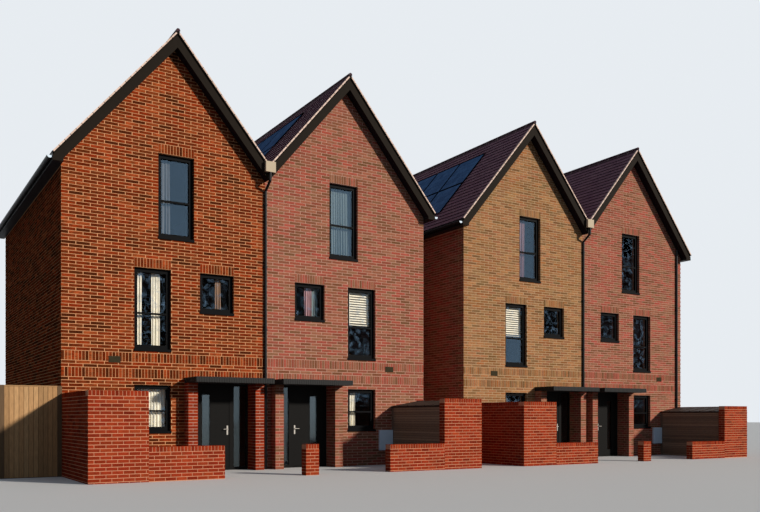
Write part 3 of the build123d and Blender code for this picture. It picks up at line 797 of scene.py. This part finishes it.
# Boards and cap of the side fence; the pairs say how far their faces lie in front of the houses
BOARD, BOARD_GAP, FENCE_POST = 0.1, 0.004, 0.095
FENCE_FOOT, BOARD_TOP, CAP_BOTTOM, CAP_TOP = 0.012, 2.0, 2.002, 2.029
STREET_BOARDS, HOUSE_BOARDS, FENCE_CAP = (0.087, 0.071), (0.053, 0.046), (0.093, 0.03)
panel_x0, panel_x1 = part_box("side_fence")[0].x + FENCE_POST, LEFT - FENCE_POST
pile = Pile()
count = round((panel_x1 - panel_x0) / BOARD)
step = (panel_x1 - panel_x0) / count
for i in range(count):
    a, b = panel_x0 + i * step + BOARD_GAP, panel_x0 + (i + 1) * step - BOARD_GAP
    for near, far in (STREET_BOARDS, HOUSE_BOARDS):
        pile.box(a, b, FRONT - near, FRONT - far, FENCE_FOOT, BOARD_TOP)
pile.box(panel_x0, panel_x1, FRONT - FENCE_CAP[0], FRONT - FENCE_CAP[1], CAP_BOTTOM, CAP_TOP)
pile.build("fence_boards", FINISH["fence"], "fence_timber")

# Bin stores: slats on both faces of their fronts, end posts, and ribs down their roofs
STORE_FRONT, STORE_PANEL, STORE_TOP, STORE_HIGH = 1.07, 0.045, 1.66, 1.85
STORE_OVERHANG, STORE_SHEET = 0.035, 0.04
SLAT, SLAT_PROUD, SLAT_FOOT, SLAT_BELOW, SLAT_ABOVE = 0.064, 0.012, 0.02, 0.005, 0.011
STORE_POST, POST_PROUD, POST_FOOT, STORE_END = 0.045, 0.022, 0.01, 0.012
RIB, RIB_ROOT, RIB_SPACES = 0.016, 0.01, 6
PIPE_CLEARANCE = 0.36
slats, ribs = Pile(), Pile()
for house in HOUSES:
    drop = street_drop(house)
    top = STORE_TOP - drop
    y0, y1 = FRONT - STREET + THICK + STORE_END, FRONT - STORE_END
    count = round(top / SLAT)
    step = top / count
    for place, out in ((STORE_FRONT, 1), (STORE_FRONT - STORE_PANEL, -1)):
        root = across(house, place - out * BITE)
        for i in range(count):
            z0, z1 = max(i * step + SLAT_BELOW, SLAT_FOOT), (i + 1) * step - SLAT_ABOVE
            slats.box(root, across(house, place + out * SLAT_PROUD), y0, y1, z0, z1)
        for y in (y0 + STORE_POST, y1 - STORE_POST):
            face = across(house, place + out * POST_PROUD)
            slats.box(root, face, y - STORE_POST, y + STORE_POST, POST_FOOT, top - STORE_END, 0.0)
    far, near = STORE_FRONT + STORE_OVERHANG, THICK
    low_z, high_z = STORE_TOP + STORE_SHEET - drop, STORE_HIGH - drop
    for i in range(1, RIB_SPACES):
        y = FRONT - STREET + THICK + i * (STREET - THICK) / RIB_SPACES
        # The last rib of house 4 stops short of the downpipe
        end = PIPE_CLEARANCE if house == 4 and i == RIB_SPACES - 1 else near
        end_z = low_z + (high_z - low_z) * (far - end) / (far - near)
        (x0, z0), (x1, z1) = (across(house, end), end_z), (across(house, far), low_z)
        ring = ((x0, z0 - RIB_ROOT), (x1, z1 - RIB_ROOT), (x1, z1 + RIB), (x0, z0 + RIB))
        corners = [(x, side, z) for side in (y - RIB, y + RIB) for x, z in ring]
        ribs.add(np.array(corners if inward(house) > 0 else corners[4:] + corners[:4]))
slats.build("store_slats", FINISH["slats"], "store_slats")
ribs.build("store_ribs", FINISH["sheet"], "store_roof")

# Upright ribs round the edges of the canopies
CANOPY_SHORT, CANOPY_REACH = 0.122, 0.85
CANOPY_START, CANOPY_END = DOOR_START - PIER_WIDTH, WIDTH - CANOPY_SHORT
CANOPY_RIB, CANOPY_RIB_PITCH, CANOPY_RIB_START, CANOPY_RIB_PROUD = 0.026, 0.062, 0.008, 0.006
CANOPY_RIB_LOW, CANOPY_RIB_HIGH = 2.164, 2.278
canopy_y = FRONT - CANOPY_REACH
pile = Pile()
for house in HOUSES:
    x0, x1 = sides(house, CANOPY_START, CANOPY_END)
    for length, edge in ((x1 - x0, "front"), (CANOPY_REACH, "left"), (CANOPY_REACH, "right")):
        count = round(length / CANOPY_RIB_PITCH)
        step = length / count
        for i in range(count):
            a = i * step + CANOPY_RIB_START
            b = a + CANOPY_RIB
            if edge == "front":
                limits = x0 + a, x0 + b, canopy_y - CANOPY_RIB_PROUD, canopy_y + BITE
            else:
                x, out = (x0, -1) if edge == "left" else (x1, 1)
                limits = x - out * BITE, x + out * CANOPY_RIB_PROUD, canopy_y + a, canopy_y + b
            pile.box(*limits, CANOPY_RIB_LOW, CANOPY_RIB_HIGH)
pile.build("canopy_ribs", FINISH["canopy"], "canopy_metal")

# Doors, drip edges and locks of the meter boxes, and fins of the air bricks. The rows give how far the
# face and the back of a piece lie in front of the house, and its foot and top
METER, METER_BORDER, METER_DRIP, METER_LOCK = (1.08, 1.52), 0.02, 0.004, (0.035, 0.055)
DOOR_ROW, DRIP_ROW = (0.078, 0.068, 0.43, 0.95), (0.074, 0, 0.958, 0.974)
LOCK_ROW = (0.084, 0.076, 0.67, 0.71)
FINS, FIN, FIN_PITCH, FIN_START, FIN_END, FIN_FACE = 5, 0.014, 0.027, 0.014, 0.012, 0.014
doors, fins = Pile(), Pile()
for house in HOUSES:
    x0, x1 = sides(house, *METER)
    for a, b, (near, far, z0, z1) in (
        (x0 + METER_BORDER, x1 - METER_BORDER, DOOR_ROW),
        (x0 - METER_DRIP, x1 + METER_DRIP, DRIP_ROW),
        (x0 + METER_LOCK[0], x0 + METER_LOCK[1], LOCK_ROW),
    ):
        doors.box(a, b, FRONT - near, FRONT - far, z0, z1)
    a, b = sides(house, *AIR_BRICK[:2])
    for i in range(FINS):
        z = AIR_BRICK[2] + FIN_START + i * FIN_PITCH
        fins.box(a + FIN_END, b - FIN_END, FRONT - FIN_FACE, FRONT - PROUD, z, z + FIN)
doors.build("meter_doors", FINISH["white"], "meter_box")
fins.build("air_brick_fins", FINISH["air_brick"], "air_brick")

# Cells of the solar panels, in two rows of three panels on each of two roofs; their colour holds a painted
# sky reflection
PANEL_WIDTH, PANEL_LENGTH, PANEL_GAP, PANEL_THICKNESS = 1.29, 1.43, 0.02, 0.04
PANEL_FIRST, PANEL_MARGIN, PANEL_BORDER = 1.55, 0.73, 0.035
CELLS, CELL_GAP, CELL_ROOT = 6, 0.004, 0.004
cell_width = (PANEL_WIDTH - 2 * PANEL_BORDER) / CELLS
cell_length = (PANEL_LENGTH - 2 * PANEL_BORDER) / CELLS
pile = Pile()
for house, outer in ((2, False), (3, True)):
    face = slope_face(house, outer)
    for row in range(2):
        for column in range(3):
            y0 = FRONT + PANEL_FIRST + column * (PANEL_WIDTH + PANEL_GAP)
            top = -(PANEL_MARGIN + row * (PANEL_LENGTH + PANEL_GAP))
            s0 = min(face.s[1] * y0, face.s[1] * (y0 + PANEL_WIDTH)) + PANEL_BORDER
            t0 = top - PANEL_LENGTH + PANEL_BORDER
            for i in range(CELLS):
                for j in range(CELLS):
                    a, t = s0 + i * cell_width + CELL_GAP, t0 + j * cell_length + CELL_GAP
                    b, end = a + cell_width - 2 * CELL_GAP, t + cell_length - 2 * CELL_GAP
                    pile.add(face.block(a, b, t, end, PANEL_THICKNESS + BITE, PANEL_THICKNESS - CELL_ROOT))
pile.build("solar_cells", FINISH["cells_painted_sky"], "solar_glass")


def drum(x, y, radius, z0, z1, steps=16):
    """Points and four-sided faces of an upright closed drum."""
    turns = [math.tau * i / steps for i in range(steps)]
    points = [(x + radius * math.cos(a), y + radius * math.sin(a), z) for z in (z0, z1) for a in turns]
    points += [(x, y, z0), (x, y, z1)]
    quads = [(i, (i + 1) % steps, steps + (i + 1) % steps, steps + i) for i in range(steps)]
    for i in range(0, steps, 2):
        j, k = i + 1, (i + 2) % steps
        quads += [(2 * steps, k, j, i), (2 * steps + 1, steps + i, steps + j, steps + k)]
    return points, quads


# Collars and wall plates that hold the downpipes
PIPE_Y, COLLAR_RADIUS, COLLAR_HEIGHT, LAST_PIPE = 0.045, 0.043, 0.05, 0.257
PLATE_HALF, PLATE_PROUD = 0.06, 0.012
COLLARS = (0.35, 1.95, 3.55, 5.15, 6.75)
points, quads, brackets = [], [], Pile()
places = [(across(house, WIDTH), y, out) for house in (1, 3) for y, out in ((FRONT, -1), (REAR, 1))]
places.append((across(4, LAST_PIPE), FRONT, -1))
for x, wall_y, out in places:
    root, face = wall_y - out * BITE, wall_y + out * PLATE_PROUD
    for z0 in COLLARS:
        z1 = z0 + COLLAR_HEIGHT
        collar, faces = drum(x, wall_y + out * PIPE_Y, COLLAR_RADIUS, z0, z1)
        quads += [tuple(i + len(points) for i in f) for f in faces]
        points += collar
        brackets.box(x - PLATE_HALF, x + PLATE_HALF, root, face, z0, z1)
mesh_object("pipe_collars", points, quads, dark_metal)
brackets.build("pipe_brackets", dark_metal, "black_metal")

# Pale half-round plates on the stop ends of the gutters
GUTTER_RADIUS, GUTTER_ACROSS, GUTTER_DROP = 0.058, -0.284, 0.075
PLATE, PLATE_ROOT, STEPS = 0.006, 0.001, 12
GUTTER_TOP = RIDGE - (EAVES_REACH + RIDGE_ACROSS) * SLOPE - GUTTER_DROP
front_end, rear_end = FRONT - VERGE_REACH, REAR + VERGE_REACH
points, quads = [], []
for house in HOUSES:
    x = across(house, GUTTER_ACROSS)
    for ends in ((front_end - PLATE, front_end + PLATE_ROOT), (rear_end - PLATE_ROOT, rear_end + PLATE)):
        first = len(points)
        for y in ends:
            points.append((x, y, GUTTER_TOP))
            for i in range(STEPS + 1):
                a = math.pi * (1 + i / STEPS)
                points.append((x + GUTTER_RADIUS * math.cos(a), y, GUTTER_TOP + GUTTER_RADIUS * math.sin(a)))
        back = first + STEPS + 2
        for i in range(1, STEPS, 2):
            quads.append((first, first + i, first + i + 1, first + i + 2))
            quads.append((back, back + i + 2, back + i + 1, back + i))
        rim = list(range(STEPS + 2))
        for i, j in zip(rim, rim[1:] + rim[:1]):
            quads.append((first + j, first + i, back + i, back + j))
mesh_object("gutter_ends", points, quads, FINISH["white"])

# Camera: distance to the left of the row and in front of it, height, turn to the right in degrees;
# size of the photo, focal length and row of the horizon in pixels, sensor in mm
CAMERA_LEFT, CAMERA_DISTANCE, CAMERA_HEIGHT, CAMERA_TURN = 3.6609, 19.3283, 1.3195, 32.0586
PHOTO_WIDTH, PHOTO_HEIGHT, FOCAL, HORIZON, SENSOR = 760, 512, 816.34, 417.68, 36

# Curtains and their rails, within the window openings. Each row gives house, window, the shares of the
# window's width between which the curtain shows, and its cloth
CURTAIN_Y, GLASS_Y = 0.235, 0.13
RAIL_DROP, RAIL_HALF, CURTAIN_FOOT, CURTAIN_SIDE = 0.035, 0.009, 0.035, 0.014
FOLD, FOLD_STEPS, CURTAIN_ROWS, FULLNESS, SWAY = 0.075, 8, 9, 0.03, 0.006
CURTAINS = (
    (1, 0, 0.0, 0.36, "grey"),
    (1, 0, 0.84, 1.0, "grey"),
    (1, 1, 0.05, 0.235, "cream"),
    (1, 1, 0.505, 0.73, "cream"),
    (1, 2, 0.5, 0.66, "tan"),
    (1, 3, 0.0, 1.0, "cream"),
    (2, 0, 0.0, 1.0, "sheer"),
    (2, 2, 0.38, 0.62, "rose"),
    (2, 2, 0.64, 0.82, "sheer"),
    (2, 3, 0.12, 0.35, "cream"),
    (3, 0, 0.0, 0.36, "rose"),
    (3, 3, 0.02, 0.2, "grey"),
    (4, 1, 0.0, 0.16, "cream"),
)
rails = Pile()
for house, window in sorted({row[:2] for row in CURTAINS}):
    place, _, head = WINDOWS[window]
    x0, x1 = sides(house, place - HALF, place + HALF)
    y, z = FRONT + CURTAIN_Y, head - RAIL_DROP
    rails.box(x0 - BITE, x1 + BITE, y - RAIL_HALF, y + RAIL_HALF, z - RAIL_HALF, z + RAIL_HALF)
rails_piece = rails.build("curtain_rails", FINISH["rail"])


def cloth(name, colour, alpha=1.0):
    """Woven cloth: fine threads, slightly uneven, with a soft sheen."""
    m = Nodes(name, 0.9, spec=0.1)
    base = srgb(*colour)
    m.colour(m.ramp(m.noise(600.0, 2.0, (1, 1, 0.2)), [(0.3, shade(base, 0.88)), (0.7, shade(base, 1.06))]))
    m.bump(m.noise(900.0, 2.0), 0.2, 0.001)
    m.bsdf.inputs["Sheen Weight"].default_value = 0.2
    m.bsdf.inputs["Alpha"].default_value = alpha
    return m.mat


CLOTHS = {
    "cream": cloth("cream_cloth", (252, 244, 224)),
    "grey": cloth("grey_cloth", (120, 122, 124)),
    "rose": cloth("rose_cloth", (176, 138, 142)),
    "tan": cloth("tan_cloth", (150, 120, 96)),
    "sheer": cloth("sheer_cloth", (176, 196, 196), 0.55),
}


def curtain(house, window, share0, share1, kind, order):
    """One curtain hanging in folds behind part of a window, shares counted from the left."""
    place, sill, head = WINDOWS[window]
    x0, x1 = sides(house, place - HALF, place + HALF)
    drift = (CURTAIN_Y - GLASS_Y) * (x0 - LEFT + CAMERA_LEFT) / CAMERA_DISTANCE
    start = x0 + max((x1 - x0) * share0 + drift, CURTAIN_SIDE)
    end = x0 + min((x1 - x0) * share1 + drift, x1 - x0 - CURTAIN_SIDE)
    top, bottom = head - RAIL_DROP - RAIL_HALF, sill + CURTAIN_FOOT
    folds = max(2, round((end - start) / FOLD))
    columns = folds * FOLD_STEPS + 1
    u = np.linspace(0, 1, columns)
    phases = rng.random(4) * math.tau
    points = []
    # From rail (v = 0) to hem (v = 1) the folds grow deeper, and the cloth sways a little both ways
    for v in np.linspace(0, 1, CURTAIN_ROWS):
        depth = FULLNESS * (0.35 + 0.4 * v) * (1 + 0.25 * np.sin(math.tau * 1.7 * u + phases[0]))
        wave = np.sin(math.tau * folds * u + 0.35 * np.sin(3 * v + phases[1]))
        x = start + (end - start) * u + SWAY * np.sin(math.tau * 2.3 * u + phases[2] + 2 * v)
        y = FRONT + CURTAIN_Y + 0.02 * v * math.sin(phases[3]) + depth * wave
        points.append(np.stack([x, y, np.full(columns, top + (bottom - top) * v)], 1))
    grid = np.array(points)
    index = np.arange(CURTAIN_ROWS * columns).reshape(CURTAIN_ROWS, columns)
    quads = np.stack([index[1:, :-1], index[1:, 1:], index[:-1, 1:], index[:-1, :-1]], -1).reshape(-1, 4)
    name = f"curtain_{house}_{window}_{order}"
    obj = mesh_object(name, grid.reshape(-1, 3), quads, CLOTHS[kind], smooth=True)


for order, (house, window, share0, share1, kind) in enumerate(CURTAINS):
    curtain(house, window, share0, share1, kind, order)

# Slatted blinds over the upper half of two tall windows: head box, tilted slats, bottom bar and tapes
SLATS, SLAT_PITCH, SLAT_WIDTH, SLAT_TILT, SLAT_EDGE = 13, 0.067, 0.046, math.radians(64), 0.003
BLIND_Y, BLIND_SIDE, HEAD_BOX, HEAD_BOX_HALF, BAR_DEPTH_HALF, BAR_HALF = 0.2, 0.02, 0.055, 0.025, 0.02, 0.012
TAPE, TAPE_WIDTH, TAPE_ROOT, TAPE_SIDES, TAPE_PLACES = 0.002, 0.02, 0.005, (-0.024, 0.022), (0.12, -0.14)
dy, dz = SLAT_WIDTH / 2 * math.cos(SLAT_TILT), SLAT_WIDTH / 2 * math.sin(SLAT_TILT)
for house in (2, 3):
    place, _, head = WINDOWS[1]
    x0, x1 = sides(house, place - HALF, place + HALF)
    x0, x1, y, z0 = x0 + BLIND_SIDE, x1 - BLIND_SIDE, FRONT + BLIND_Y, head - HEAD_BOX
    pile = Pile()
    pile.box(x0, x1, y - HEAD_BOX_HALF, y + HEAD_BOX_HALF, z0, head - BITE)
    edges = ((x0, 0), (x1, 0), (x1, SLAT_EDGE), (x0, SLAT_EDGE))
    for i in range(1, SLATS + 1):
        z = z0 - i * SLAT_PITCH
        pile.add(np.array([(x, y + side * dy, z + side * dz + up) for side in (-1, 1) for x, up in edges]))
    z = z0 - (SLATS + 1) * SLAT_PITCH
    pile.box(x0, x1, y - BAR_DEPTH_HALF, y + BAR_DEPTH_HALF, z - BAR_HALF, z + BAR_HALF)
    for x in (x0 + TAPE_PLACES[0], x1 + TAPE_PLACES[1]):
        for side in TAPE_SIDES:
            pile.box(x, x + TAPE_WIDTH, y + side, y + side + TAPE, z, z0 + TAPE_ROOT)
    pile.build(f"blind_{house}", FINISH["blind"])


def background_rays(tree):
    """1 for camera, glossy and transmission rays, which see the pale background, else 0."""
    path = tree.nodes.new("ShaderNodeLightPath")
    seen = path.outputs["Is Camera Ray"]
    for ray in ("Is Glossy Ray", "Is Transmission Ray"):
        either = tree.nodes.new("ShaderNodeMath")
        either.operation = "MAXIMUM"
        tree.links.new(seen, either.inputs[0])
        tree.links.new(path.outputs[ray], either.inputs[1])
        seen = either.outputs[0]
    return seen


# Floor
FLOOR_SIZE = 400
scene = bpy.context.scene
bpy.ops.mesh.primitive_plane_add(size=FLOOR_SIZE, location=(0, 0, 0))
floor = bpy.context.object
floor.name = "studio_floor"
finish = Nodes("studio_floor", 0.9, spec=0.1)
finish.colour(finish.mix("MIX", background_rays(finish.tree), srgb(98, 100, 104), srgb(214, 214, 212)))
floor.data.materials.append(finish.mat)

# World: soft light, and the pale background that the camera and reflections see
world = bpy.data.worlds.new("studio")
scene.world = world
world.use_nodes = True
tree = world.node_tree
light, shown = tree.nodes["Background"], tree.nodes.new("ShaderNodeBackground")
for node, colour, strength in ((light, (0.68, 0.85, 1.08, 1), 0.22), (shown, (0.80, 0.84, 0.88, 1), 1.0)):
    node.inputs["Color"].default_value = colour
    node.inputs["Strength"].default_value = strength
mix = tree.nodes.new("ShaderNodeMixShader")
tree.links.new(background_rays(tree), mix.inputs[0])
tree.links.new(light.outputs[0], mix.inputs[1])
tree.links.new(shown.outputs[0], mix.inputs[2])
tree.links.new(mix.outputs[0], tree.nodes["World Output"].inputs["Surface"])

# Sun: height over the horizon, and turn to the right from straight in front of the row, in degrees
SUN_HEIGHT, SUN_TURN = 20.5, 35
sun = bpy.data.lights.new("key_light", "SUN")
sun.energy = 3.7
sun.angle = math.radians(4)
sun.color = (1.0, 0.93, 0.84)
key = bpy.data.objects.new("key_light", sun)
scene.collection.objects.link(key)
key.rotation_euler = (math.radians(90 - SUN_HEIGHT), 0, math.radians(SUN_TURN))

# Camera
camera = bpy.data.cameras.new("photo_camera")
camera.sensor_width = SENSOR
camera.lens = FOCAL * SENSOR / PHOTO_WIDTH
camera.shift_y = (HORIZON - PHOTO_HEIGHT / 2) / PHOTO_WIDTH
camera.clip_end = 500
cam = bpy.data.objects.new("photo_camera", camera)
scene.collection.objects.link(cam)
cam.location = (LEFT - CAMERA_LEFT, FRONT - CAMERA_DISTANCE, CAMERA_HEIGHT)
cam.rotation_euler = (math.radians(90), 0, math.radians(-CAMERA_TURN))
scene.camera = cam
scene.view_settings.view_transform = "Standard"
